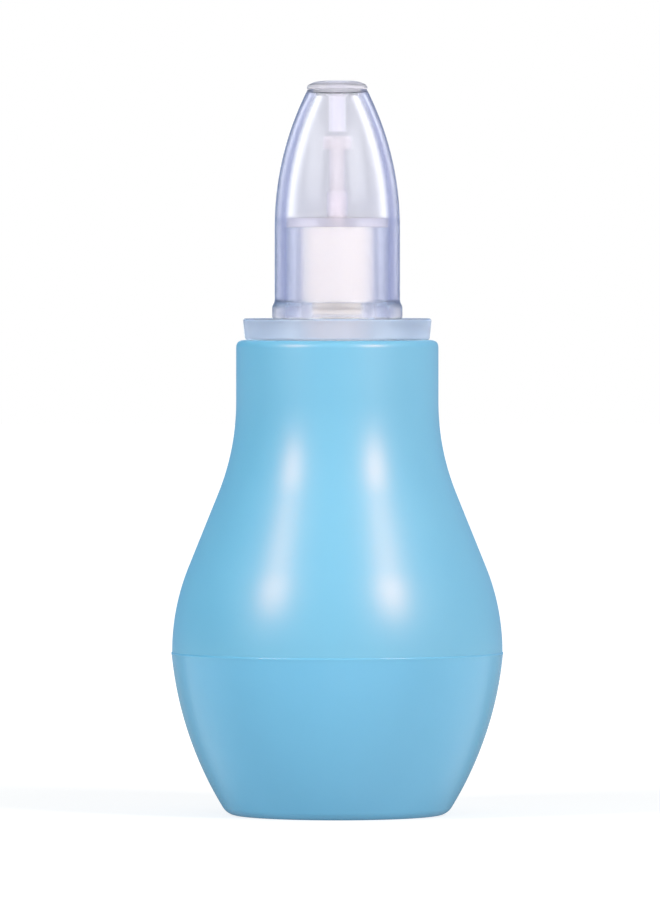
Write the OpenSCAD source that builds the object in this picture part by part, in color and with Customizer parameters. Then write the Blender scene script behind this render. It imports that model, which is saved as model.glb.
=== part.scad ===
// Nasal aspirator: a two-part squeeze bulb, a clear connector with a filter, and a clear
// push-on nozzle that catches what is drawn in. Millimetres, +Z up, origin at the centre of the foot.

/* [Squeeze bulb] */
// Height of the bulb, from its foot to the top of its neck
bulb_h = 74.4; // [72:0.2:84]
// Widest diameter, at the seam
belly_d = 51.8; // [49:0.2:55]
// Diameter of the neck
neck_d = 31.7; // [30.8:0.1:33.5]
// Wall thickness
bulb_wall = 2.2; // [1.6:0.1:2.4]
// Height of the seam between the glossy top and the satin cup
seam_z = 25.6; // [22:0.2:27]
// Radius of the hollow curve below the neck
flare_r = 38.4; // [32:0.2:46]
// Radius of the round curve above the seam
shoulder_r = 35.3; // [30:0.1:42]
// Lean of the straight stretch between the two curves, in degrees
shoulder_lean = 22; // [21:0.5:25]
// Radius of the cup's side curve
cup_r = 56; // [50:0.5:64]
// Lean of the cup's wall at the seam, in degrees
cup_lean = 5; // [3:0.5:6]
// Round of the foot's edge
foot_round = 2.5; // [2.5:0.1:4]
// Round of the neck's top edge
neck_round = 1.2; // [0.6:0.1:1.6]
// Height of the lap where the cup is welded inside the top
lap_h = 2; // [1:0.1:3]
// How far the cup's rim stands proud of the top at the seam
seam_step = 0.1; // [0:0.02:0.3]

/* [Connector] */
// Diameter of the flange
flange_d = 29.6; // [27:0.2:30.4]
// Thickness of the flange
flange_t = 3.4; // [2.4:0.1:4.4]
// How much the flange narrows towards its underside, on the radius
flange_draft = 0.35; // [0:0.05:0.6]
// Diameter of the boss that the nozzle pushes on to
boss_d = 16.3; // [15:0.1:16.6]
// Height of the boss above the flange
boss_h = 14.3; // [12:0.1:15.5]
// Diameter of the filter's well in the boss
well_d = 11.6; // [9.6:0.1:12.6]
// Height of the filter's seat above the flange
seat_h = 2.1; // [1:0.1:4]
// Diameter of the air hole down to the bulb
air_d = 8; // [5:0.1:9]
// Length of the spigot in the bulb's neck
spigot_l = 9; // [7:0.1:9.4]
// Wall thickness of the spigot
spigot_wall = 1.6; // [1.2:0.1:2.4]
// Number of gripping ribs on the spigot
rib_count = 2; // [1:1:3]

/* [Nozzle] */
// Height of the nozzle, from the flange to its mouth
nozzle_h = 35.6; // [33:0.1:37]
// Diameter of the straight lower part
nozzle_d = 19.6; // [19.2:0.1:20.2]
// Diameter of the foot bead
bead_d = 20.4; // [20.4:0.1:22]
// Height of the foot bead, without its sloped top
bead_h = 1.9; // [1.2:0.1:3]
// Diameter of the dome at its mouth
mouth_d = 9.2; // [8.8:0.1:10.4]
// Wall thickness of the dome
dome_wall = 2; // [1.5:0.1:2.2]
// Thickness of the wall around the mouth
mouth_wall = 0.8; // [0.6:0.1:1.2]
// Gap all round in the push fits
fit_gap = 0.05; // [0.02:0.01:0.1]

/* [Soft tip] */
// Diameter of the lip
lip_d = 9.5; // [8:0.1:10.5]
// Thickness of the lip
lip_t = 1.6; // [1.3:0.1:2.4]
// Diameter of the suction bore
bore_d = 1.8; // [1.4:0.1:2]
// Outer diameter of the drop tube
drop_d = 2.7; // [2.6:0.1:3.4]
// Diameter of the plug in the nozzle's mouth
plug_d = 4.2; // [3.6:0.1:4.4]
// Length of the drop tube below the nozzle's mouth
drop_l = 6.5; // [4:0.1:6.8]

/* [Backflow baffle and filter] */
// Thickness of the chamber floor
floor_t = 1.4; // [1:0.1:2]
// Outer diameter of the standpipe
pipe_d = 2.4; // [2.2:0.1:2.6]
// Bore of the standpipe
pipe_bore = 1.5; // [1:0.1:1.7]
// Height of the socket that holds the standpipe
socket_h = 4.2; // [2:0.1:5]
// Wall thickness of that socket
socket_wall = 0.4; // [0.3:0.05:0.6]
// Gap between the drop tube and the splash cap
cap_gap = 0.7; // [0.4:0.1:1.5]
// Diameter of the splash cap
cap_d = 4.4; // [4.2:0.1:5]
// Height of the splash cap
cap_h = 2; // [1.8:0.1:2.8]
// Number of fins that hold the splash cap on the standpipe
fin_count = 4; // [3:1:6]
// Gap between the filter and its well, all round
filter_gap = 0.1; // [0.02:0.02:0.4]

/* [Hidden] */

turn_fn = 180;
curve_steps = 10;
round_steps = 5;

// Bulb curves: the straight stretch is tangent to the flare and the shoulder
neck_r = neck_d / 2;
belly_r = belly_d / 2;
neck_bore_r = neck_r - bulb_wall;
curves_r = flare_r + shoulder_r;
curves_dx = curves_r - (belly_r - neck_r);
neck_z = seam_z + (curves_r - curves_dx * cos(shoulder_lean)) / sin(shoulder_lean);
flare_c = [neck_r + flare_r, neck_z];
shoulder_c = [belly_r - shoulder_r, seam_z];
lap_r = belly_r - bulb_wall / 2;
lap_a = asin(lap_h / (shoulder_r - bulb_wall));

// Cup curves: the foot's round is tangent to the cup's side and to the ground
rim_r = belly_r + seam_step;
cup_c = [rim_r - cup_r * cos(cup_lean), seam_z + cup_r * sin(cup_lean)];
foot_r = cup_c.x + sqrt(pow(cup_r - foot_round, 2) - pow(cup_c.y - foot_round, 2));
foot_c = [foot_r, foot_round];
foot_a = asin((cup_c.y - foot_round) / (cup_r - foot_round));
rim_inner_r = cup_c.x + (cup_r - bulb_wall) * cos(cup_lean);

// Heights of the connector and what stands in it
flange_top = bulb_h + flange_t;
seat_z = flange_top + seat_h;
boss_top = flange_top + boss_h;
floor_top = boss_top + floor_t;
spigot_r = neck_bore_r - 0.4;
rib_r = neck_bore_r - fit_gap;
rib_h = 1.4;
rib_pitch = 2.6;
rib_first = 1.6;
edge_round = 0.5;
edge_chamfer = 0.3;

// Nozzle curves: the dome starts upright at the chamber floor and leans in to the mouth
boss_r = boss_d / 2;
grip_r = boss_r + fit_gap;
nozzle_r = nozzle_d / 2;
mouth_z = flange_top + nozzle_h;
dome_h = mouth_z - boss_top;
dome_in = nozzle_r - mouth_d / 2;
dome_r = (pow(dome_in, 2) + pow(dome_h, 2)) / (2 * dome_in);
dome_c = [nozzle_r - dome_r, boss_top];
mouth_a = asin((mouth_z - dome_c.y) / dome_r);
ceiling_z = mouth_z - mouth_wall;
ceiling_a = asin((ceiling_z - dome_c.y) / (dome_r - dome_wall));
ledge_z = floor_top + fit_gap;
ledge_a = asin((ledge_z - dome_c.y) / (dome_r - dome_wall));
bead_slope = 1.6;
plug_r = plug_d / 2;
plug_l = 0.5;

// Heights in the baffle
pipe_r = pipe_d / 2;
pipe_seat_z = boss_top + 0.5;
pipe_hole_r = pipe_bore / 2;
cap_top = mouth_z - drop_l - cap_gap;
cap_r = cap_d / 2;
cap_wall = 0.45;
cap_roof = 0.6;
cap_roof_z = cap_top - cap_roof;
pipe_top = cap_roof_z - 0.5;
fin_t = 0.4;

// Points along an arc about c, from angle a to angle b
function arc(c, r, a, b, n = curve_steps) =
    [for (i = [0:n]) c + r * [cos(a + (b - a) * i / n), sin(a + (b - a) * i / n)]];

// A list without its first point, for an arc that starts where the last one ends
function after_first(points) = [for (i = [1:len(points) - 1]) points[i]];

// A solid turned about the Z axis from an outline of [radius, height] points
module turned(points) {
    rotate_extrude($fn = turn_fn)
        polygon(points);
}

// Glossy top of the bulb: neck, flare and shoulder, with a rebate that laps over the cup
module bulb_upper() {
    neck_edge = [neck_r - neck_round, bulb_h - neck_round];
    color("#8ccce8")
        turned(concat(
            [[neck_bore_r, bulb_h]],
            arc(neck_edge, neck_round, 90, 0, round_steps),
            arc(flare_c, flare_r, 180, 180 + shoulder_lean),
            arc(shoulder_c, shoulder_r, shoulder_lean, 0),
            [[lap_r, seam_z], [lap_r, seam_z + lap_h]],
            arc(shoulder_c, shoulder_r - bulb_wall, lap_a, shoulder_lean),
            arc(flare_c, flare_r + bulb_wall, 180 + shoulder_lean, 180)));
}

// Satin cup of the bulb, with a flat foot and a thin lip inside the top's rebate
module bulb_lower() {
    lip_r = lap_r - fit_gap;
    lip_z = seam_z + lap_h - fit_gap;
    color("#7cbcde")
        turned(concat(
            [[0, 0]],
            arc(foot_c, foot_round, -90, -foot_a, round_steps),
            after_first(arc(cup_c, cup_r, -foot_a, -cup_lean)),
            [[lip_r, seam_z], [lip_r, lip_z], [rim_inner_r, lip_z]],
            arc(cup_c, cup_r - bulb_wall, -cup_lean, -foot_a),
            after_first(arc(foot_c, foot_round - bulb_wall, -foot_a, -90, round_steps)),
            [[0, bulb_wall]]));
}

// Clear connector: flange on the neck, ribbed spigot in the neck, boss with the filter's well
module connector() {
    flange_r = flange_d / 2;
    flange_low_r = flange_r - flange_draft;
    top_edge = [flange_r - edge_round, flange_top - edge_round];
    low_edge = [flange_low_r - edge_round, bulb_h + edge_round];
    spigot_in_r = spigot_r - spigot_wall;
    ribs = [for (i = [0:rib_count - 1]) let (z = bulb_h - rib_first - i * rib_pitch)
        each [[spigot_r, z], [rib_r, z], [rib_r, z - rib_h / 3], [spigot_r, z - rib_h]]];
    color("#c3cde6", 0.5)
        turned(concat(
            [[air_d / 2, bulb_h], [air_d / 2, seat_z], [well_d / 2, seat_z], [well_d / 2, boss_top]],
            [[boss_r - edge_chamfer, boss_top], [boss_r, boss_top - edge_chamfer], [boss_r, flange_top]],
            arc(top_edge, edge_round, 90, 0, round_steps),
            arc(low_edge, edge_round, 0, -90, round_steps),
            [[spigot_r, bulb_h]],
            ribs,
            [[spigot_r, bulb_h - spigot_l], [spigot_in_r, bulb_h - spigot_l], [spigot_in_r, bulb_h]]));
}

// White foam filter standing in the connector's well
module filter() {
    filter_r = well_d / 2 - filter_gap;
    color("#f5f1f2")
        turned([[0, seat_z], [filter_r - edge_chamfer, seat_z], [filter_r, seat_z + edge_chamfer],
                [filter_r, boss_top - edge_chamfer], [filter_r - edge_chamfer, boss_top], [0, boss_top]]);
}

// Clear floor of the catch chamber, lying on the boss, with the standpipe's socket
module chamber_floor() {
    disc_r = boss_r - fit_gap;
    pipe_fit_r = pipe_r + fit_gap / 2;
    socket_r = pipe_fit_r + socket_wall;
    socket_top = floor_top + socket_h;
    color("#d0d4e6", 0.5)
        turned([[pipe_hole_r, boss_top], [disc_r, boss_top], [disc_r, floor_top],
                [socket_r + edge_chamfer, floor_top], [socket_r, floor_top + edge_chamfer],
                [socket_r, socket_top], [pipe_fit_r, socket_top], [pipe_fit_r, pipe_seat_z],
                [pipe_hole_r, pipe_seat_z]]);
}

// Clear standpipe that carries air down to the filter, above any liquid on the chamber floor
module standpipe() {
    color("#e0dce8", 0.6)
        turned([[pipe_hole_r, pipe_seat_z], [pipe_r, pipe_seat_z], [pipe_r, pipe_top],
                [pipe_hole_r, pipe_top]]);
}

// Splash cap over the standpipe: air turns up under its skirt and liquid drips off it
module splash_cap() {
    skirt_in_r = cap_r - cap_wall;
    skirt_z = cap_top - cap_h;
    side_in_r = pipe_r + fit_gap;
    overlap = 0.1;
    color("#f0f0f4", 0.7) {
        turned(concat(
            [[0, cap_roof_z], [skirt_in_r, cap_roof_z], [skirt_in_r, skirt_z], [cap_r, skirt_z]],
            arc([cap_r - edge_round, cap_top - edge_round], edge_round, 0, 90, round_steps),
            [[0, cap_top]]));
        for (i = [0:fin_count - 1])
            rotate(i * 360 / fin_count) {
                translate([pipe_hole_r, -fin_t / 2, pipe_top])
                    cube([skirt_in_r + overlap - pipe_hole_r, fin_t, cap_roof_z + overlap - pipe_top]);
                translate([side_in_r, -fin_t / 2, skirt_z + edge_chamfer])
                    cube([skirt_in_r + overlap - side_in_r, fin_t, cap_roof_z - skirt_z - edge_chamfer]);
            }
    }
}

// Clear nozzle: foot bead on the flange, socket over the boss, domed catch chamber, open mouth
module nozzle() {
    bead_r = bead_d / 2;
    bead_top = flange_top + bead_h;
    hole_r = plug_r + fit_gap;
    bead_edge = [bead_r - edge_chamfer, flange_top + edge_chamfer];
    color("#cdd2ea", 0.45)
        turned(concat(
            [[grip_r + edge_chamfer, flange_top]],
            arc(bead_edge, edge_chamfer, -90, 0, round_steps),
            [[bead_r, bead_top], [nozzle_r, bead_top + bead_slope]],
            arc(dome_c, dome_r, 0, mouth_a),
            [[hole_r, mouth_z], [hole_r, ceiling_z]],
            arc(dome_c, dome_r - dome_wall, ceiling_a, ledge_a),
            [[grip_r, ledge_z], [grip_r, flange_top + edge_chamfer]]));
}

// Soft tip: rounded lip on the mouth, a plug in it, and the drop tube with the suction bore
module soft_tip() {
    lip_r = lip_d / 2;
    lip_round = 0.9;
    under_round = 0.4;
    bore_r = bore_d / 2;
    bore_round = 0.4;
    lip_top = mouth_z + lip_t;
    plug_z = ceiling_z - plug_l;
    top_edge = [lip_r - lip_round, lip_top - lip_round];
    under_edge = [lip_r - under_round, mouth_z + under_round];
    bore_edge = [bore_r + bore_round, lip_top - bore_round];
    color("#d6d8e6", 0.6)
        turned(concat(
            [[bore_r, mouth_z - drop_l]],
            arc(bore_edge, bore_round, 180, 90, round_steps),
            arc(top_edge, lip_round, 90, 0, round_steps),
            after_first(arc(under_edge, under_round, 0, -90, round_steps)),
            [[plug_r, mouth_z], [plug_r, plug_z], [drop_d / 2, plug_z - plug_l],
             [drop_d / 2, mouth_z - drop_l]]));
}

bulb_upper();
bulb_lower();
connector();
filter();
chamber_floor();
standpipe();
splash_cap();
nozzle();
soft_tip();
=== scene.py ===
"""Nasal aspirator: a soft blue squeeze bulb with a clear flanged connector and a clear domed nozzle.

Every piece but the fins under the splash cap is turned about Z. Profiles are [radius, height] in
millimetres, worked out from the CAD frame's boxes and a few driving sizes, and the meshes are in metres
in the frame's own axes.
"""

import math

import bpy
import numpy as np
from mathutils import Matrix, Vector


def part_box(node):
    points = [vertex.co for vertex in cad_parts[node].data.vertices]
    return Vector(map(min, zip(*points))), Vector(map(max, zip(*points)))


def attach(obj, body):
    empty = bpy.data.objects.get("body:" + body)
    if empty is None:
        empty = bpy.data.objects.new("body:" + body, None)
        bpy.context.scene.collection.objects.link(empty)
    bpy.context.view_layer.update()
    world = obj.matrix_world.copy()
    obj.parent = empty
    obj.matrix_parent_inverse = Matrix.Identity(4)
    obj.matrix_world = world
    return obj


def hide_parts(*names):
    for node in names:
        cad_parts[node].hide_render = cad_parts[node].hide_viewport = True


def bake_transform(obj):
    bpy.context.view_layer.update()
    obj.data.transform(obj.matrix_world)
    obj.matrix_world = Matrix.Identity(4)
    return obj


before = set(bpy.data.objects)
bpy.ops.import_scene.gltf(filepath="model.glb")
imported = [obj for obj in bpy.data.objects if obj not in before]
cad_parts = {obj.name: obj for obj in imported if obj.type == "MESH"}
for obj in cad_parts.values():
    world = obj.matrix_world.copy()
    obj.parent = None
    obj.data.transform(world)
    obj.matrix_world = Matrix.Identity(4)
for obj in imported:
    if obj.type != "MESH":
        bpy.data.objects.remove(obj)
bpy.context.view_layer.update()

MM = 0.001
SEGMENTS = 224
CORNER_STEPS = 7
# Lengths below this count as nothing, in millimetres
TINY = 1e-9

# How far back from a corner its rounding starts, in millimetres
HAIR = 0.05
SHARP = 0.1
TRIM = 0.15
CRISP = 0.2
EASED = 0.3
SOFT = 0.4
ROUND = 0.5
# How far an arc stops short of a corner, so that the corner can be rounded, in degrees
CORNER_ROOM = 0.6

# Driving sizes of the bulb's curves, in millimetres and degrees
BULB_WALL = 2.2
NECK_RADIUS = 15.85
NECK_ROUND = 1.2
FLARE_RADIUS = 38.4
SHOULDER_RADIUS = 35.3
SHOULDER_LEAN = 22.0
SHOULDER_START = 1.5
CUP_RADIUS = 56.0
CUP_LEAN = 5.0
FOOT_ROUND = 2.5
LAP_HEIGHT = 2.0
LAP_ROOM = 1.0
SEAM_SINK = 0.25
RIM_BEAD = 0.12
RIM_ROUND = 0.45

# Driving sizes of the connector, the foam and the chamber floor, in millimetres
FIT_GAP = 0.05
FLANGE_THICK = 3.4
FLANGE_DRAFT = 0.35
BOSS_RADIUS = 8.15
BOSS_WALL = 0.7
WELL_RADIUS = 5.8
SEAT_HEIGHT = 2.1
AIR_RADIUS = 4.0
FOAM_BULGE = 1.6
SPIGOT_WALL = 1.6
SPIGOT_GAP = 0.4
SPIGOT_ROUND = 0.6
RIB_COUNT = 2
RIB_FIRST = 1.6
RIB_PITCH = 2.6
RIB_HEIGHT = 1.4
RIB_FLAT = 0.33
FLOOR_THICK = 1.4
FLOOR_ROUND = 0.06
SOCKET_RADIUS = 1.625
SOCKET_SEAT = 0.5

# Driving sizes of the nozzle, the soft tip, the standpipe and its cap, in millimetres
NOZZLE_RADIUS = 9.8
BEAD_HEIGHT = 1.9
BEAD_SLOPE = 0.7
BEAD_ROUND = 0.35
DOME_WALL = 1.6
DOME_STEPS = 40
MOUTH_RADIUS = 4.6
MOUTH_WALL = 0.4
CEILING_ROUND = 0.7
PLUG_RADIUS = 2.1
PLUG_LENGTH = 0.5
BORE_RADIUS = 0.9
BORE_ROUND = 0.45
DROP_RADIUS = 1.35
LIP_THICK = 1.3
LIP_SLOPE = (1.3, 0.75)
LIP_ROUND = 1.2
PIPE_RADIUS = 1.2
PIPE_BORE = 0.75
CAP_WALL = 0.45
CAP_ROOF = 0.6
CAP_ROUND = 0.6
FIN_THICK = 0.4
FIN_COUNT = 4
FIN_LIFT = 0.2


def node_size(name):
    """Outer radius, lowest and highest height of a CAD node, in millimetres."""
    low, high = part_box(name)
    return high.x / MM, low.z / MM, high.z / MM


def arc(centre, radius, start, end, steps=28):
    """Points on a circle about centre, from one angle to another in degrees."""
    angle = np.radians(np.linspace(start, end, steps + 1))
    return np.stack([centre[0] + radius * np.cos(angle), centre[1] + radius * np.sin(angle)], 1)


def unit(vectors):
    """Vectors scaled to length 1."""
    return vectors / np.maximum(np.linalg.norm(vectors, axis=-1, keepdims=True), TINY)


def outline(*runs):
    """A closed profile from runs. An array is a curve, kept as it is. A tuple (radius, height, back)
    is a corner, rounded by the parabola that leaves its two sides at the distance back from it."""
    points = np.vstack([r if isinstance(r, np.ndarray) else [r[:2]] for r in runs])
    back = np.concatenate([np.zeros(len(r)) if isinstance(r, np.ndarray) else [r[2]] for r in runs])
    before = points + back[:, None] * unit(np.roll(points, 1, 0) - points)
    after = points + back[:, None] * unit(np.roll(points, -1, 0) - points)
    t = np.linspace(0, 1, CORNER_STEPS)[:, None]
    curve = before[:, None] * (1 - t) ** 2 + 2 * t * (1 - t) * points[:, None] + after[:, None] * t**2
    flat = curve.reshape(-1, 2)
    return flat[np.linalg.norm(flat - np.roll(flat, 1, 0), axis=1) > TINY]


def turned(name, profile, thick_below=0.0):
    """Turns a closed profile about Z. Point (i, j) is profile point i at angle 2 pi j / SEGMENTS. Points
    on the axis become one vertex each. The attribute outer is how far a face looks away from the axis:
    1 straight away, 0 along it or towards it. Below the height thick_below, where the wall is thick, that
    goes into the flank attribute instead, which marks where a painted reflection is laid on the wall."""
    following = np.roll(profile, -1, 0)
    area = np.sum(profile[:, 0] * following[:, 1] - following[:, 0] * profile[:, 1])
    profile = profile if area > 0 else profile[::-1]
    along = unit(np.roll(profile, -1, 0) - np.roll(profile, 1, 0))
    angle = 2 * np.pi * np.arange(SEGMENTS) / SEGMENTS
    grid = np.stack([profile[:, :1] * np.cos(angle), profile[:, :1] * np.sin(angle),
                     np.repeat(profile[:, 1:], SEGMENTS, 1)], -1)
    outward = np.stack([along[:, 1:] * np.cos(angle), along[:, 1:] * np.sin(angle),
                        np.repeat(-along[:, :1], SEGMENTS, 1)], -1)
    pole = profile[:, 0] < TINY
    count = np.where(pole, 1, SEGMENTS)
    first = np.cumsum(count) - count
    here = first[:, None] + np.where(pole[:, None], 0, np.arange(SEGMENTS))
    kept = np.arange(SEGMENTS)[None, :] < count[:, None]
    grid[pole, :, :2] = 0
    outward[pole] = np.where(along[pole, :1, None] > 0, [0.0, 0.0, -1.0], [0.0, 0.0, 1.0])
    beyond = np.roll(here, -1, 0)
    pole_beyond = np.roll(pole, -1)
    here_on, beyond_on = np.roll(here, -1, 1), np.roll(beyond, -1, 1)
    quads = np.stack([here, here_on, beyond_on, beyond], -1)[~pole & ~pole_beyond].reshape(-1, 4)
    fan_up = np.stack([here, beyond_on, beyond], -1)[pole & ~pole_beyond].reshape(-1, 3)
    fan_down = np.stack([here, here_on, beyond], -1)[~pole & pole_beyond].reshape(-1, 3)
    faces = [*quads.tolist(), *fan_up.tolist(), *fan_down.tolist()]
    mesh = bpy.data.meshes.new(name)
    mesh.from_pydata((grid[kept] * MM).tolist(), [], faces)
    mesh.normals_split_custom_set_from_vertices(outward[kept].tolist())
    thin = profile[:, 1:] > thick_below
    away = np.clip(along[:, 1:], 0, 1)
    for key, share in (("outer", away * thin), ("painted_flank", away * ~thin)):
        value = np.repeat(share, SEGMENTS, 1)[kept].astype(np.float32)
        mesh.attributes.new(key, "FLOAT", "POINT").data.foreach_set("value", value)
    piece = bpy.data.objects.new(name, mesh)
    bpy.context.scene.collection.objects.link(piece)
    return piece


# Sizes of the patterns in the materials, in millimetres
CLOUD_SIZE = 14
FLOW_SIZE = 6
FLOW_DEPTH = 0.004
PORE_SIZE = 0.5
PORE_DEPTH = 0.06
# Share of a pore's size at which its wall begins
PORE_WALL = 0.45
# How far the shine of the vinyl differs between its clouds, as roughness
SHINE_SPREAD = 0.03
# Share of the light that goes into the vinyl, how deep in millimetres, and how much of that depth red,
# green and blue reach
SOFT_GLOW = 0.08
GLOW_DEPTH = 1.5
GLOW_REACH = (0.4, 0.8, 1.0)
# Over how many millimetres frost fades out, to either side of its edge and below the nozzle's mouth
FOOT_FADE = 0.3
MOUTH_FADE = 0.4
# Roughness at the nozzle's mouth
MOUTH_FROST = 0.5
# Slant of view over which a thick wall's side takes its painted reflection: 0 straight on, 1 along the wall
PAINTED_FLANK_SPAN = (0.02, 0.09)


def linear(colour):
    """Linear RGBA of an sRGB hex colour."""
    share = np.array([int(colour[i:i + 2], 16) for i in (1, 3, 5)]) / 255
    return (*np.where(share <= 0.04045, share / 12.92, ((share + 0.055) / 1.055) ** 2.4), 1.0)


def add(tree, kind, values=None, links=None, **settings):
    """Adds one node with its settings, its plain input values and its links."""
    made = tree.nodes.new(kind)
    for key, value in settings.items():
        setattr(made, key, value)
    for key, value in (values or {}).items():
        made.inputs[key].default_value = value
    for key, socket in (links or {}).items():
        tree.links.new(socket, made.inputs[key])
    return made


def empty_material(name):
    """A material with an empty node tree, and its output node."""
    made = bpy.data.materials.new(name)
    made.use_nodes = True
    made.node_tree.nodes.clear()
    return made, made.node_tree, made.node_tree.nodes.new("ShaderNodeOutputMaterial")


def per_metre(size_mm):
    """Scale of a pattern whose features repeat every size_mm millimetres."""
    return 1 / (size_mm * MM)


def soft_vinyl(name, pale, deep, roughness, gloss, grain_mm, grain_depth_mm):
    """Plasticised PVC, moulded: an even body colour with slow clouds of dye, and the tool's grain. A
    little light goes into it, which softens its shade."""
    made, tree, out = empty_material(name)
    place = add(tree, "ShaderNodeTexCoord").outputs["Object"]
    clouds = add(tree, "ShaderNodeTexNoise", {"Scale": per_metre(CLOUD_SIZE), "Detail": 3.0},
                 {"Vector": place})
    dye = add(tree, "ShaderNodeMix", {"A": linear(deep), "B": linear(pale)},
              {"Factor": clouds.outputs["Fac"]}, data_type="RGBA")
    grain = add(tree, "ShaderNodeTexNoise", {"Scale": per_metre(grain_mm), "Detail": 2.0},
                {"Vector": place})
    shine = add(tree, "ShaderNodeMapRange",
                {"To Min": roughness - SHINE_SPREAD, "To Max": roughness + SHINE_SPREAD},
                {"Value": clouds.outputs["Fac"]})
    bump = add(tree, "ShaderNodeBump", {"Distance": grain_depth_mm * MM, "Strength": 1.0},
               {"Height": grain.outputs["Fac"]})
    shader = add(tree, "ShaderNodeBsdfPrincipled",
                 {"IOR": 1.5, "Specular IOR Level": gloss, "Subsurface Weight": SOFT_GLOW,
                  "Subsurface Radius": GLOW_REACH, "Subsurface Scale": GLOW_DEPTH * MM},
                 {"Base Color": dye.outputs["Result"], "Roughness": shine.outputs["Result"],
                  "Normal": bump.outputs["Normal"]})
    tree.links.new(shader.outputs["BSDF"], out.inputs["Surface"])
    return made


def frosted_ends(tree, place, polished, frosted, frost_mm):
    """Roughness by height: frosted below frost_mm over the nozzle's foot, MOUTH_FROST at its mouth, and
    polished between them."""
    height = add(tree, "ShaderNodeSeparateXYZ", None, {0: place}).outputs["Z"]
    foot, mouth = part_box("nozzle")[0].z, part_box("nozzle")[1].z
    edge = foot + frost_mm * MM
    below = add(tree, "ShaderNodeMapRange",
                {"From Min": edge - FOOT_FADE * MM, "From Max": edge + FOOT_FADE * MM,
                 "To Min": frosted, "To Max": polished}, {"Value": height})
    above = add(tree, "ShaderNodeMapRange",
                {"From Min": mouth - MOUTH_FADE * MM, "From Max": mouth,
                 "To Min": polished, "To Max": MOUTH_FROST}, {"Value": height})
    return add(tree, "ShaderNodeMath", None, {0: below.outputs["Result"], 1: above.outputs["Result"]},
               operation="MAXIMUM").outputs[0]


def paint_flank_reflection(tree, colour, painted_flank):
    """A skin colour that turns to the flank colour, a painted reflection, where a thick wall is looked at
    from aside.
    """
    facing = add(tree, "ShaderNodeLayerWeight").outputs["Facing"]
    aside = add(tree, "ShaderNodeMapRange", {"From Min": PAINTED_FLANK_SPAN[0], "From Max": PAINTED_FLANK_SPAN[1]},
                {"Value": facing})
    thick = add(tree, "ShaderNodeAttribute", attribute_name="painted_flank").outputs["Fac"]
    share = add(tree, "ShaderNodeMath", None, {0: aside.outputs["Result"], 1: thick}, operation="MULTIPLY")
    return add(tree, "ShaderNodeMix", {"B": linear(painted_flank)}, {"Factor": share.outputs[0], "A": colour},
               data_type="RGBA").outputs["Result"]


def clear_plastic(name, skin, edge, painted_edge_span, tint, depth_mm, clear, ior, polished, frosted=None,
                  frost_mm=0, painted_flank=None):
    """Clear moulded plastic with a slight haze: a skin that is see-through for the share clear, with a slow
    flow ripple, and a body that takes on its tint over a stated depth. Where a thin wall is looked along, the
    edge colour is painted on it: painted shade where it is darker than the skin, a painted highlight where it
    is paler, standing in for what refraction shows there. On a thick wall seen from aside the flank colour is
    painted, a painted reflection of what lies under it. polished and frosted are roughnesses. Lamps shine
    through to what is inside."""
    made, tree, out = empty_material(name)
    place = add(tree, "ShaderNodeTexCoord").outputs["Object"]
    flow = add(tree, "ShaderNodeTexNoise", {"Scale": per_metre(FLOW_SIZE), "Detail": 1.0},
               {"Vector": place})
    bump = add(tree, "ShaderNodeBump", {"Distance": FLOW_DEPTH * MM, "Strength": 1.0},
               {"Height": flow.outputs["Fac"]})
    facing = add(tree, "ShaderNodeLayerWeight").outputs["Facing"]
    outer = add(tree, "ShaderNodeAttribute", attribute_name="outer").outputs["Fac"]
    slant = add(tree, "ShaderNodeMath", None, {0: facing, 1: outer}, operation="MULTIPLY")
    along = add(tree, "ShaderNodeMapRange", {"From Min": painted_edge_span[0], "From Max": painted_edge_span[1]},
                {"Value": slant.outputs[0]})
    # Painted edge: the edge colour is painted where a thin wall is looked along, as painted shade where it is
    # darker than the skin and a painted highlight where it is paler
    colour = add(tree, "ShaderNodeMix", {"A": linear(skin), "B": linear(edge)},
                 {"Factor": along.outputs["Result"]}, data_type="RGBA")
    shader = add(tree, "ShaderNodeBsdfPrincipled",
                 {"IOR": ior, "Transmission Weight": clear, "Roughness": polished},
                 {"Base Color": colour.outputs["Result"], "Normal": bump.outputs["Normal"]})
    # The flank colour is a painted reflection of what lies under a thick wall, laid on where it is seen from
    # aside
    if painted_flank:
        tree.links.new(paint_flank_reflection(tree, colour.outputs["Result"], painted_flank), shader.inputs["Base Color"])
    if frosted:
        tree.links.new(frosted_ends(tree, place, polished, frosted, frost_mm), shader.inputs["Roughness"])
    lamps = add(tree, "ShaderNodeBsdfTransparent")
    mixed = add(tree, "ShaderNodeMixShader", None,
                {0: add(tree, "ShaderNodeLightPath").outputs["Is Shadow Ray"],
                 1: shader.outputs["BSDF"], 2: lamps.outputs["BSDF"]})
    body = add(tree, "ShaderNodeVolumeAbsorption", {"Color": linear(tint), "Density": 1 / (depth_mm * MM)})
    tree.links.new(mixed.outputs["Shader"], out.inputs["Surface"])
    tree.links.new(body.outputs["Volume"], out.inputs["Volume"])
    return made


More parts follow.
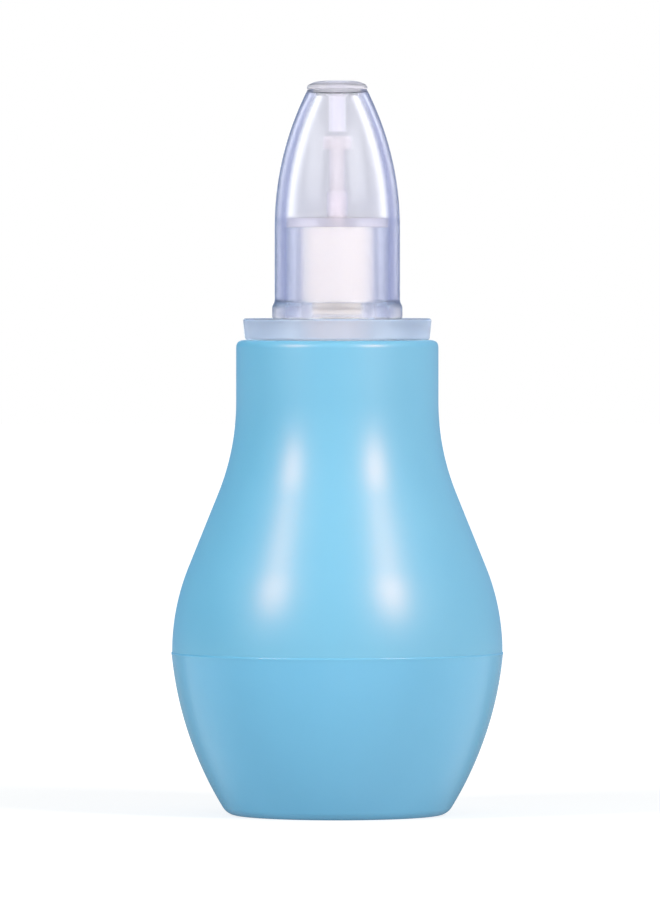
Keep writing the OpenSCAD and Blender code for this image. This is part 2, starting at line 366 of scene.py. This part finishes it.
def white_foam(name):
    """Open-cell polyurethane foam: a chalky skin broken by pores, drawn coarser than real ones so that
    they show, with painted shade in their hollows."""
    made, tree, out = empty_material(name)
    place = add(tree, "ShaderNodeTexCoord").outputs["Object"]
    pores = add(tree, "ShaderNodeTexVoronoi", {"Scale": per_metre(PORE_SIZE)}, {"Vector": place})
    shade = add(tree, "ShaderNodeMapRange", {"From Max": PORE_WALL}, {"Value": pores.outputs["Distance"]})
    # The pores' hollows are painted a little darker, as painted shade; the same mask sinks them as bumps
    colour = add(tree, "ShaderNodeMix", {"A": linear("#e9d9c2"), "B": linear("#f0e3cc")},
                 {"Factor": shade.outputs["Result"]}, data_type="RGBA")
    bump = add(tree, "ShaderNodeBump", {"Distance": PORE_DEPTH * MM, "Strength": 1.0},
               {"Height": shade.outputs["Result"]})
    shader = add(tree, "ShaderNodeBsdfPrincipled", {"Roughness": 0.95, "Specular IOR Level": 0.1},
                 {"Base Color": colour.outputs["Result"], "Normal": bump.outputs["Normal"]})
    tree.links.new(shader.outputs["BSDF"], out.inputs["Surface"])
    return made


# Soft PVC from a polished tool: an even sky blue with long white streaks of the lamps, soft at their edges
VINYL_GLOSS = soft_vinyl("polished_soft_vinyl", pale="#8acdec", deep="#82c7e8", roughness=0.36, gloss=0.6,
                         grain_mm=1.2, grain_depth_mm=0.004)
# Soft PVC from a finely grained tool: a flatter blue, whose sheen is a broken mirror of the floor
VINYL_SATIN = soft_vinyl("satin_soft_vinyl", pale="#86cdf2", deep="#7ec7ec", roughness=0.24, gloss=0.5,
                         grain_mm=0.6, grain_depth_mm=0.012)
# Polypropylene from a polished tool: clear in the middle, with painted lavender shade where the wall is
# looked along, sharp white streaks, and dulled at the foot and the mouth
CLEAR_NOZZLE = clear_plastic("clear_polypropylene", skin="#fdfdff", edge="#c4caea", painted_edge_span=(0.36, 0.44),
                             tint="#a4b0e4", depth_mm=90, clear=0.95, ior=1.49, polished=0.16,
                             frosted=0.22, frost_mm=2.1)
# Polypropylene with a clear boss and a frosted flange and spigot: no image shows through the flange, only
# a pale middle, and on its flanks a painted reflection of the bulb's blue under it. Where its walls are
# looked along they are painted a deeper blue, as painted shade
CLEAR_CONNECTOR = clear_plastic("hazy_clear_polypropylene", skin="#f5f5fa", edge="#a2b4dc",
                                painted_edge_span=(0.15, 0.65), tint="#b8c0e2", depth_mm=110, clear=0.88, ior=1.49,
                                polished=0.09, frosted=0.5, frost_mm=-0.2, painted_flank="#d7e8f6")
# Polypropylene from a frosted tool: a pale band that lets light through, with painted lavender shade where
# the wall is looked along
CLEAR_FLOOR = clear_plastic("frosted_polypropylene", skin="#f6f2f8", edge="#d8d8ea", painted_edge_span=(0.36, 0.76),
                            tint="#b8bce0", depth_mm=60, clear=0.92, ior=1.49, polished=0.3)
# Silicone rubber, moulded: see-through and pale, with a painted white highlight where it is looked along,
# and a dull shine
SILICONE = clear_plastic("translucent_silicone", skin="#f2f0f6", edge="#ffffff", painted_edge_span=(0.25, 0.5),
                         tint="#e0dce6", depth_mm=120, clear=0.86, ior=1.41, polished=0.32)
# Milky polypropylene, moulded: a pale grey body that glows a little and shows no image, with painted shade
# where the wall is looked along
MILKY = clear_plastic("milky_polypropylene", skin="#e4e0e4", edge="#d6d0da", painted_edge_span=(0.36, 0.76),
                      tint="#c4c0d0", depth_mm=30, clear=0.7, ior=1.35, polished=0.3)
# Open-cell foam, cut: flat white with no highlight, and painted shade in its pores
FOAM = white_foam("white_open_cell_foam")


def bulb_curves():
    """Centres of the flare and the shoulder: the straight stretch between them leans by SHOULDER_LEAN
    and touches both circles."""
    belly, seam, _ = node_size("bulb_upper")
    lean = math.radians(SHOULDER_LEAN)
    both = FLARE_RADIUS + SHOULDER_RADIUS
    across = both - (belly - NECK_RADIUS)
    neck_height = seam + (both - across * math.cos(lean)) / math.sin(lean)
    return (NECK_RADIUS + FLARE_RADIUS, neck_height), (belly - SHOULDER_RADIUS, seam)


def bulb_top():
    """Neck, flare and shoulder as one wall, with a rebate at the seam. Its lowest edge sinks into the cup's
    rim, as at a weld."""
    belly, seam, top = node_size("bulb_upper")
    flare, shoulder = bulb_curves()
    lap = belly - BULB_WALL / 2
    lap_angle = math.degrees(math.asin(LAP_HEIGHT / (SHOULDER_RADIUS - BULB_WALL)))
    profile = outline(
        (belly, seam - SEAM_SINK, HAIR),
        arc(shoulder, SHOULDER_RADIUS, SHOULDER_START, SHOULDER_LEAN),
        arc(flare, FLARE_RADIUS, 180 + SHOULDER_LEAN, 180),
        (NECK_RADIUS, top, NECK_ROUND),
        (NECK_RADIUS - BULB_WALL, top, SOFT),
        arc(flare, FLARE_RADIUS + BULB_WALL, 180, 180 + SHOULDER_LEAN),
        arc(shoulder, SHOULDER_RADIUS - BULB_WALL, SHOULDER_LEAN, lap_angle + LAP_ROOM),
        (belly - BULB_WALL, seam + LAP_HEIGHT, SHARP),
        (lap, seam + LAP_HEIGHT, SHARP),
        (lap, seam, SHARP))
    return turned("glossy_bulb_top", profile)


def bulb_cup():
    """Cup with a flat foot, a rounded rim at the seam and the lip inside the rebate. The foot is a row of
    rings out to its rounded edge."""
    rim, _, lip_top = node_size("bulb_lower")
    belly, seam, _ = node_size("bulb_upper")
    lean = math.radians(CUP_LEAN)
    side = (rim - CUP_RADIUS * math.cos(lean), seam + CUP_RADIUS * math.sin(lean))
    drop = side[1] - FOOT_ROUND
    foot = (side[0] + math.sqrt((CUP_RADIUS - FOOT_ROUND) ** 2 - drop**2), FOOT_ROUND)
    turn = math.degrees(math.asin(drop / (CUP_RADIUS - FOOT_ROUND)))
    lip = belly - BULB_WALL / 2 - FIT_GAP
    inner = side[0] + (CUP_RADIUS - BULB_WALL) * math.cos(lean)
    rings = np.linspace(0.4, 0.98, 8) * foot[0]
    profile = outline(
        np.array([[0.0, 0.0]]),
        np.stack([rings, np.zeros(len(rings))], 1),
        arc(foot, FOOT_ROUND, -90, -turn, 14),
        arc(side, CUP_RADIUS, -turn, -CUP_LEAN - CORNER_ROOM)[1:],
        (rim + RIM_BEAD, seam, RIM_ROUND),
        (lip, seam, SHARP),
        (lip, lip_top, CRISP),
        (inner, lip_top, CRISP),
        arc(side, CUP_RADIUS - BULB_WALL, -CUP_LEAN, -turn),
        arc(foot, FOOT_ROUND - BULB_WALL, -turn, -90, 6)[1:],
        np.array([[foot[0] / 2, BULB_WALL], [0.0, BULB_WALL]]))
    return turned("satin_bulb_cup", profile)


def connector_body():
    """Flange, boss and ribbed spigot, in one clear moulding. A groove cores out the boss, so that it and
    the filter's well are two thin walls."""
    flange, spigot_end, boss_top = node_size("connector")
    _, _, neck_top = node_size("bulb_upper")
    flange_top = neck_top + FLANGE_THICK
    seat = flange_top + SEAT_HEIGHT
    bore = NECK_RADIUS - BULB_WALL
    spigot = bore - SPIGOT_GAP
    grip = bore - FIT_GAP
    well = WELL_RADIUS + BOSS_WALL
    groove = BOSS_RADIUS - BOSS_WALL
    ribs = [(radius, neck_top - RIB_FIRST - k * RIB_PITCH - fall * RIB_HEIGHT, SHARP)
            for k in range(RIB_COUNT)
            for radius, fall in ((spigot, 0), (grip, 0), (grip, RIB_FLAT), (spigot, 1))]
    profile = outline(
        (AIR_RADIUS, neck_top, EASED), (AIR_RADIUS, seat, CRISP), (WELL_RADIUS, seat, CRISP),
        (WELL_RADIUS, boss_top, CRISP), (well, boss_top, CRISP),
        (well, seat, CRISP), (groove, seat, CRISP),
        (groove, boss_top, CRISP), (BOSS_RADIUS, boss_top, CRISP), (BOSS_RADIUS, flange_top, SHARP),
        (flange, flange_top, ROUND), (flange - FLANGE_DRAFT, neck_top, ROUND), (spigot, neck_top, CRISP),
        *ribs,
        (spigot, spigot_end, SOFT), (spigot - SPIGOT_WALL, spigot_end, SOFT),
        (spigot - SPIGOT_WALL, neck_top, SPIGOT_ROUND))
    return turned("clear_connector", profile, thick_below=flange_top + FIT_GAP)


def foam_plug():
    """Foam cylinder with soft edges, which bulges a little into the air hole under it."""
    radius, low, high = node_size("filter")
    hole = AIR_RADIUS - 2 * FIT_GAP
    bulge = low - FOAM_BULGE
    profile = outline(
        np.array([[0.0, bulge]]), (hole, bulge, ROUND), (hole, low, SHARP), (radius, low, EASED),
        (radius, high, SOFT), np.array([[0.0, high]]))
    return turned("foam_filter", profile)


def floor_disc():
    """Floor of the catch chamber with the standpipe's socket."""
    disc, low, socket_top = node_size("chamber_floor")
    top = low + FLOOR_THICK
    seat = low + SOCKET_SEAT
    inner = PIPE_RADIUS + FIT_GAP / 2
    profile = outline(
        (PIPE_BORE, low, SHARP), (disc, low, FLOOR_ROUND), (disc, top, FLOOR_ROUND),
        (SOCKET_RADIUS, top, SOFT), (SOCKET_RADIUS, socket_top, TRIM), (inner, socket_top, SHARP),
        (inner, seat, HAIR), (PIPE_BORE, seat, HAIR))
    return turned("clear_chamber_floor", profile)


def standpipe_tube():
    """Straight tube from the socket to under the splash cap."""
    radius, low, high = node_size("standpipe")
    profile = outline(
        (PIPE_BORE, low, HAIR), (radius, low, SHARP), (radius, high, SHARP), (PIPE_BORE, high, SHARP))
    return turned("milky_standpipe", profile)


def splash_hood():
    """Inverted cup over the standpipe."""
    radius, skirt, top = node_size("splash_cap")
    roof = top - CAP_ROOF
    inner = radius - CAP_WALL
    profile = outline(
        np.array([[0.0, roof]]), (inner, roof, CRISP), (inner, skirt, SHARP), (radius, skirt, SHARP),
        (radius, top, CAP_ROUND), np.array([[0.0, top]]))
    return turned("milky_splash_cap", profile)


def cap_fins():
    """Fins between the cap and the standpipe. A fin is an angled plate, given by its corners in radius and
    height, as thick as FIN_THICK, and turned by equal steps about the axis."""
    radius, skirt, top = node_size("splash_cap")
    _, _, pipe_top = node_size("standpipe")
    wall = radius - CAP_WALL / 2
    roof = top - CAP_ROOF / 2
    side = PIPE_RADIUS + FIT_GAP
    low = skirt + FIN_LIFT
    plate = np.array([(PIPE_BORE, pipe_top), (side, pipe_top), (side, low), (wall, low), (wall, roof),
                      (PIPE_BORE, roof)])
    turn = 2 * np.pi * np.arange(FIN_COUNT)[:, None, None] / FIN_COUNT
    across = np.array([-0.5, 0.5])[None, :, None] * FIN_THICK
    out = plate[None, None, :, 0]
    x, y = out * np.cos(turn) - across * np.sin(turn), out * np.sin(turn) + across * np.cos(turn)
    points = np.stack([x, y, np.broadcast_to(plate[:, 1], x.shape)], -1).reshape(-1, 3) * MM
    corner = np.arange(len(plate))
    behind, ahead = corner + len(plate), np.roll(corner, -1)
    rim = np.stack([corner, behind, np.roll(behind, -1), ahead], -1)
    first = 2 * len(plate) * np.arange(FIN_COUNT)
    faces = [(f + face).tolist() for f in first for face in (corner, behind[::-1], *rim)]
    mesh = bpy.data.meshes.new("milky_cap_fins")
    mesh.from_pydata(points.tolist(), [], faces)
    piece = bpy.data.objects.new("milky_cap_fins", mesh)
    bpy.context.scene.collection.objects.link(piece)
    return piece


def nozzle_shell():
    """Foot bead, straight barrel, dome and mouth outside; socket, ledge and catch chamber inside. The
    dome's arc starts upright at the chamber floor and ends at the mouth."""
    bead, foot, _ = node_size("nozzle")
    mouth = node_size("soft_tip")[2] - LIP_THICK
    _, boss_top, _ = node_size("chamber_floor")
    grip = BOSS_RADIUS + FIT_GAP
    ledge = boss_top + FLOOR_THICK + FIT_GAP
    ceiling = mouth - MOUTH_WALL
    inward, rise = NOZZLE_RADIUS - MOUTH_RADIUS, mouth - boss_top
    outer = (inward**2 + rise**2) / (2 * inward)
    inner = outer - DOME_WALL
    centre = (NOZZLE_RADIUS - outer, boss_top)
    mouth_end = math.degrees(math.asin(rise / outer))
    ceiling_end = math.degrees(math.asin((ceiling - boss_top) / inner))
    ledge_end = math.degrees(math.asin((ledge - boss_top) / inner))
    ceiling_edge = centre[0] + inner * math.cos(math.radians(ceiling_end))
    hole = PLUG_RADIUS + FIT_GAP
    profile = outline(
        (grip, foot, EASED), (bead, foot, BEAD_ROUND), (bead, foot + BEAD_HEIGHT, EASED),
        (NOZZLE_RADIUS, foot + BEAD_HEIGHT + BEAD_SLOPE, SOFT),
        arc(centre, outer, 0, mouth_end - CORNER_ROOM, DOME_STEPS),
        (MOUTH_RADIUS, mouth, SHARP), (hole, mouth, SHARP), (hole, ceiling, SHARP),
        (ceiling_edge, ceiling, CEILING_ROUND),
        arc(centre, inner, ceiling_end - CORNER_ROOM, ledge_end + CORNER_ROOM, DOME_STEPS),
        (grip, ledge, 0.0))
    return turned("clear_nozzle", profile, thick_below=foot + BEAD_HEIGHT + BEAD_SLOPE / 2)


def soft_lip():
    """Lip with a sloped top edge, plug and drop tube around the suction bore."""
    lip, tube_end, top = node_size("soft_tip")
    mouth = top - LIP_THICK
    plug_end = mouth - MOUTH_WALL - PLUG_LENGTH
    profile = outline(
        (BORE_RADIUS, tube_end, SHARP), (BORE_RADIUS, top, BORE_ROUND), (lip - LIP_SLOPE[0], top, LIP_ROUND),
        (lip, top - LIP_SLOPE[1], SOFT), (lip, mouth, TRIM), (PLUG_RADIUS, mouth, SHARP),
        (PLUG_RADIUS, plug_end, EASED), (DROP_RADIUS, plug_end - PLUG_LENGTH, CRISP),
        (DROP_RADIUS, tube_end, TRIM))
    return turned("silicone_tip", profile)


def dress(piece, node, body, material):
    """Gives a piece its material, puts it on its body, and lets it stand for its CAD node."""
    piece.data.materials.append(material)
    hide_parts(node)
    if body:
        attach(piece, body)
    return piece


top_piece = dress(bulb_top(), "bulb_upper", None, VINYL_GLOSS)
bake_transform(top_piece)
cup_piece = dress(bulb_cup(), "bulb_lower", "base", VINYL_SATIN)
plug = dress(foam_plug(), "filter", "connector", FOAM)
shell = dress(nozzle_shell(), "nozzle", "nozzle", CLEAR_NOZZLE)
# Lamps are set apart by pieces: the bulb, the nozzle with the foam seen through it, and the rest
bulb_pieces = [top_piece, cup_piece]
nozzle_pieces = [shell, plug]
lit_pieces = [
    dress(floor_disc(), "chamber_floor", "connector", CLEAR_FLOOR),
    dress(soft_lip(), "soft_tip", "tip", SILICONE),
    dress(connector_body(), "connector", "connector", CLEAR_CONNECTOR),
    dress(standpipe_tube(), "standpipe", "connector", MILKY),
    dress(splash_hood(), "splash_cap", "connector", MILKY),
    dress(cap_fins(), "splash_cap", "connector", MILKY)]

# The photograph's frame: millimetres per pixel at the axis, and where the foot's centre lies in it
PHOTO_W, PHOTO_H = 660, 904
MM_PER_PIXEL = 115 / 734
AXIS_PIXEL = 337.3
FOOT_PIXEL = 815
CAMERA_DISTANCE = 1500
CAMERA_HEIGHT = 84
SENSOR = 36.0

# The light tent as refracted rays see it, and how much brighter than its colours it is
BACKDROP = "#9c9ca2"
STRIP = "#ffffff"
GAP = "#989cb0"
TENT = "#d8d8e0"
TENT_LIGHT = 1.9
# The light tent as mirrored rays see it
LEFT_BOARD = "#6090bc"
BOARD = "#8c94bc"
FRONT = "#c8c8d0"
# The floor as mirrored rays see it, painted with light and shade: colours of the painted white cards and of
# the painted dim and dark floor, and in metres how far beside the axis the cards' slanted back edge starts,
# its blur to either side, and how far back it goes for each metre outwards
PAINTED_CARD = "#e0e6ec"
PAINTED_DIM_FLOOR = "#808890"
PAINTED_DARK_FLOOR = "#282c34"
CARD_EDGE = 0.026
CARD_BLUR = 0.006
CARD_SLOPE = 0.9
# Distances from the axis in metres: where the floor's own white starts to grow, where it is full, and where
# mirrored rays see the board alone
WHITE_START = 0.06
WHITE_FULL = 0.25
BOARD_ALONE = 0.6
FLOOR_GREY = 0.36

# Lamps: width and height in metres, and radiance. All of them stand LAMP_DISTANCE metres from a point
# LAMP_AIM metres over the foot, and LAMP_RISE degrees above it
LAMP_DISTANCE = 0.6
LAMP_RISE = 28
LAMP_AIM = 0.045
BULB_LAMP = (0.09, 0.2, 26)
BULB_STREAK_LAMP = (0.14, 0.2, 30)
CLEAR_LAMP = (0.09, 0.2, 26)
NOZZLE_LAMP = (0.34, 0.3, 1.7)
NOZZLE_STREAK_LAMP = (0.12, 0.12, 4.2)
BACK_LAMP = (0.3, 0.3, 4.0)
WHITE = "#ffffff"
WARM_WHITE = "#fffaf4"
STREAK = "#ffb57c"
# Each side's azimuth from the camera in degrees, share of the light, and white for the bulb's body
SIDES = (("left", -50, 1.0, "#dcfaf8"), ("right", 42, 1.17, "#fffcf6"))


def make_camera():
    """A long lens at the height of the nozzle, aimed at the frame's centre."""
    data = bpy.data.cameras.new("camera")
    data.sensor_fit = "AUTO"
    data.sensor_width = SENSOR
    data.lens = SENSOR * CAMERA_DISTANCE / (PHOTO_H * MM_PER_PIXEL)
    data.clip_end = 20
    made = bpy.data.objects.new("camera", data)
    bpy.context.scene.collection.objects.link(made)
    aim = Vector(((PHOTO_W / 2 - AXIS_PIXEL) * MM_PER_PIXEL, 0, (FOOT_PIXEL - PHOTO_H / 2) * MM_PER_PIXEL))
    made.location = Vector((aim.x, -CAMERA_DISTANCE, CAMERA_HEIGHT)) * MM
    made.rotation_euler = (aim * MM - made.location).to_track_quat("-Z", "Y").to_euler()
    bpy.context.scene.camera = made


def softbox(name, azimuth, lamp, share, colour, lit, body=True, shine=True):
    """A rectangular lamp at an azimuth from the camera's side, in degrees, facing the part. Its light is
    flagged off everything but the pieces in lit. It may light only their body colour or only their shine."""
    width, height, radiance = lamp
    turn, rise = math.radians(azimuth), math.radians(LAMP_RISE)
    data = bpy.data.lights.new(name, "AREA")
    data.shape = "RECTANGLE"
    data.size, data.size_y = width, height
    data.energy = radiance * share * math.pi * width * height
    data.color = linear(colour)[:3]
    made = bpy.data.objects.new(name, data)
    bpy.context.scene.collection.objects.link(made)
    target = Vector((0, 0, LAMP_AIM))
    made.location = target + LAMP_DISTANCE * Vector(
        (math.sin(turn) * math.cos(rise), -math.cos(turn) * math.cos(rise), math.sin(rise)))
    made.rotation_euler = (target - made.location).to_track_quat("-Z", "Y").to_euler()
    flagged = bpy.data.collections.new(name)
    for piece in lit:
        flagged.objects.link(piece)
    made.light_linking.receiver_collection = flagged
    made.visible_diffuse = body
    made.visible_glossy = shine


def by_turn(tree, turn, stops):
    """A colour from stops of (degrees from the backdrop's middle, hex colour)."""
    share = add(tree, "ShaderNodeMapRange", {"From Max": math.pi}, {"Value": turn})
    made = add(tree, "ShaderNodeValToRGB", None, {0: share.outputs["Result"]})
    ramp = made.color_ramp
    for k, (angle, colour) in enumerate(stops):
        stop = ramp.elements[k] if k < 2 else ramp.elements.new(angle / 180)
        stop.position, stop.color = angle / 180, linear(colour)
    return made.outputs["Color"]


def split_place(tree, place):
    """Of a place or a direction: its X, Y and Z, how far it lies to either side, and how far it is turned
    from the backdrop's middle, in radians."""
    spot = add(tree, "ShaderNodeSeparateXYZ", None, {0: place}).outputs
    aside = add(tree, "ShaderNodeMath", None, {0: spot["X"]}, operation="ABSOLUTE").outputs[0]
    turn = add(tree, "ShaderNodeMath", None, {0: aside, 1: spot["Y"]}, operation="ARCTAN2").outputs[0]
    return spot, aside, turn


def tent_seen_through(tree, turn):
    """What refracted rays see: a pale backdrop behind the part, a bright strip on either side of it, a dim
    gap, and pale walls from there round to the camera."""
    paint = by_turn(tree, turn, [(0, BACKDROP), (11, BACKDROP), (15, STRIP), (26, STRIP),
                                 (30, GAP), (60, GAP), (66, TENT), (180, TENT)])
    return add(tree, "ShaderNodeVectorMath", {"Scale": TENT_LIGHT}, {0: paint},
               operation="SCALE").outputs["Vector"]


def tent_mirrored(tree, turn, across):
    """What mirrored rays see: a board round the back and the sides, bluer on the left, and a pale front."""
    boards = [by_turn(tree, turn, [(0, board), (110, board), (150, FRONT), (180, FRONT)])
              for board in (LEFT_BOARD, BOARD)]
    return add(tree, "ShaderNodeMix", None, {"Factor": across, "A": boards[0], "B": boards[1]},
               data_type="RGBA").outputs["Result"]


def tent_soft_light(tree, height, across, left, right, top):
    """What dull surfaces see: a soft light from the left colour to the right one, brighter upwards by top."""
    side = add(tree, "ShaderNodeMix", {"A": linear(left), "B": linear(right)}, {"Factor": across},
               data_type="RGBA")
    above = add(tree, "ShaderNodeMapRange", {"To Max": top}, {"Value": height})
    return add(tree, "ShaderNodeVectorMath", None,
               {0: side.outputs["Result"], 1: above.outputs["Result"]}).outputs["Vector"]


def make_world(left, right, top):
    """A light tent that each kind of ray sees in its own way. To the eye it is white."""
    world = bpy.data.worlds.new("studio")
    bpy.context.scene.world = world
    world.use_nodes = True
    tree = world.node_tree
    tree.nodes.clear()
    path = add(tree, "ShaderNodeLightPath").outputs
    way, _, turn = split_place(tree, add(tree, "ShaderNodeTexCoord").outputs["Generated"])
    across = add(tree, "ShaderNodeMapRange", {"From Min": -1.0}, {"Value": way["X"]}).outputs["Result"]
    soft = tent_soft_light(tree, way["Z"], across, left, right, top)
    eye = add(tree, "ShaderNodeVectorMath", None, {0: soft, 1: path["Is Camera Ray"]}, operation="MAXIMUM")
    glossy = add(tree, "ShaderNodeMix", None,
                 {"Factor": path["Is Glossy Ray"], "A": eye.outputs["Vector"],
                  "B": tent_mirrored(tree, turn, across)}, data_type="RGBA")
    seen = add(tree, "ShaderNodeMix", None,
               {"Factor": path["Is Transmission Ray"], "A": glossy.outputs["Result"],
                "B": tent_seen_through(tree, turn)}, data_type="RGBA")
    light = add(tree, "ShaderNodeBackground", {"Strength": 1.0}, {"Color": seen.outputs["Result"]})
    add(tree, "ShaderNodeOutputWorld", None, {"Surface": light.outputs["Background"]})


def floor_mirrored(tree, place, reach):
    """What mirrored rays see: a painted white card on either side of the part, a painted patch of light whose
    back edge is blurred and slants outwards. In front and right behind the part the floor is painted dim, and
    behind the cards painted dark, as painted shade. Far off it has the board's colour."""
    spot, aside, turn = split_place(tree, place)
    # Painted light and shade on the floor, for mirrored rays only: white cards beside the part, dim and dark
    # floor round them
    front = by_turn(tree, turn, [(0, PAINTED_CARD), (90, PAINTED_CARD), (120, PAINTED_DIM_FLOOR), (180, PAINTED_DIM_FLOOR)])
    behind = by_turn(tree, turn, [(0, PAINTED_DIM_FLOOR), (15, PAINTED_DIM_FLOOR), (45, PAINTED_DARK_FLOOR), (180, PAINTED_DARK_FLOOR)])
    slope = add(tree, "ShaderNodeMath", {1: -1 / CARD_SLOPE}, {0: spot["Y"], 2: aside},
                operation="MULTIPLY_ADD")
    card = add(tree, "ShaderNodeMapRange",
               {"From Min": CARD_EDGE - CARD_BLUR, "From Max": CARD_EDGE + CARD_BLUR},
               {"Value": slope.outputs[0]})
    near = add(tree, "ShaderNodeMix", None, {"Factor": card.outputs["Result"], "A": behind, "B": front},
               data_type="RGBA")
    far = add(tree, "ShaderNodeMapRange", {"From Min": WHITE_FULL, "From Max": BOARD_ALONE},
              {"Value": reach})
    return add(tree, "ShaderNodeMix", {"B": linear(BOARD)},
               {"Factor": far.outputs["Result"], "A": near.outputs["Result"]},
               data_type="RGBA").outputs["Result"]


def make_floor(half_width, glow, bounce):
    """A pale floor: most of its white is its own, so that it is white to the horizon, and the rest is lit,
    so that the part's shadow stays. Its own white is glow at the part, and bounce for dull surfaces."""
    mesh = bpy.data.meshes.new("floor")
    corners = [(x * half_width, y * half_width, 0) for x, y in ((-1, -1), (1, -1), (1, 1), (-1, 1))]
    mesh.from_pydata(corners, [], [(0, 1, 2, 3)])
    made = bpy.data.objects.new("floor", mesh)
    bpy.context.scene.collection.objects.link(made)
    paint, tree, out = empty_material("pale_floor")
    place = add(tree, "ShaderNodeTexCoord").outputs["Object"]
    reach = add(tree, "ShaderNodeVectorMath", None, {0: place}, operation="LENGTH").outputs["Value"]
    white = add(tree, "ShaderNodeMapRange",
                {"From Min": WHITE_START, "From Max": WHITE_FULL, "To Min": glow, "To Max": 1.0},
                {"Value": reach}, interpolation_type="SMOOTHSTEP")
    path = add(tree, "ShaderNodeLightPath").outputs
    direct = add(tree, "ShaderNodeMath", None,
                 {0: path["Is Camera Ray"], 1: path["Is Transmission Ray"]}, operation="MAXIMUM")
    eye = add(tree, "ShaderNodeMix", {"A": bounce},
              {"Factor": direct.outputs[0], "B": white.outputs["Result"]})
    seen = add(tree, "ShaderNodeMix", None,
               {"Factor": path["Is Glossy Ray"], "A": eye.outputs["Result"],
                "B": floor_mirrored(tree, place, reach)}, data_type="RGBA")
    plain = add(tree, "ShaderNodeEmission", {"Strength": 1.0}, {"Color": seen.outputs["Result"]})
    lit = add(tree, "ShaderNodeBsdfDiffuse", {"Color": (FLOOR_GREY, FLOOR_GREY, FLOOR_GREY, 1)})
    both = add(tree, "ShaderNodeAddShader", None, {0: lit.outputs["BSDF"], 1: plain.outputs["Emission"]})
    tree.links.new(both.outputs["Shader"], out.inputs["Surface"])
    mesh.materials.append(paint)
    return made


make_camera()
make_world(left="#305068", right="#7c8488", top=0.45)
floor = make_floor(half_width=4.0, glow=0.74, bounce=0.3)
for side, azimuth, share, white in SIDES:
    softbox(side + "_bulb_softbox", azimuth, BULB_LAMP, share, white, bulb_pieces, shine=False)
    softbox(side + "_bulb_streak", azimuth, BULB_STREAK_LAMP, share, STREAK, bulb_pieces, body=False)
    softbox(side + "_clear_softbox", azimuth, CLEAR_LAMP, share, WARM_WHITE, [*lit_pieces, floor])
    softbox(side + "_nozzle_softbox", azimuth, NOZZLE_LAMP, share, WHITE, nozzle_pieces)
    softbox(side + "_nozzle_streak", azimuth, NOZZLE_STREAK_LAMP, share, WHITE, [shell], body=False)
softbox("back_softbox", 180, BACK_LAMP, 1.0, WARM_WHITE, [*bulb_pieces, plug], shine=False)
bpy.context.scene.view_settings.view_transform = "Standard"
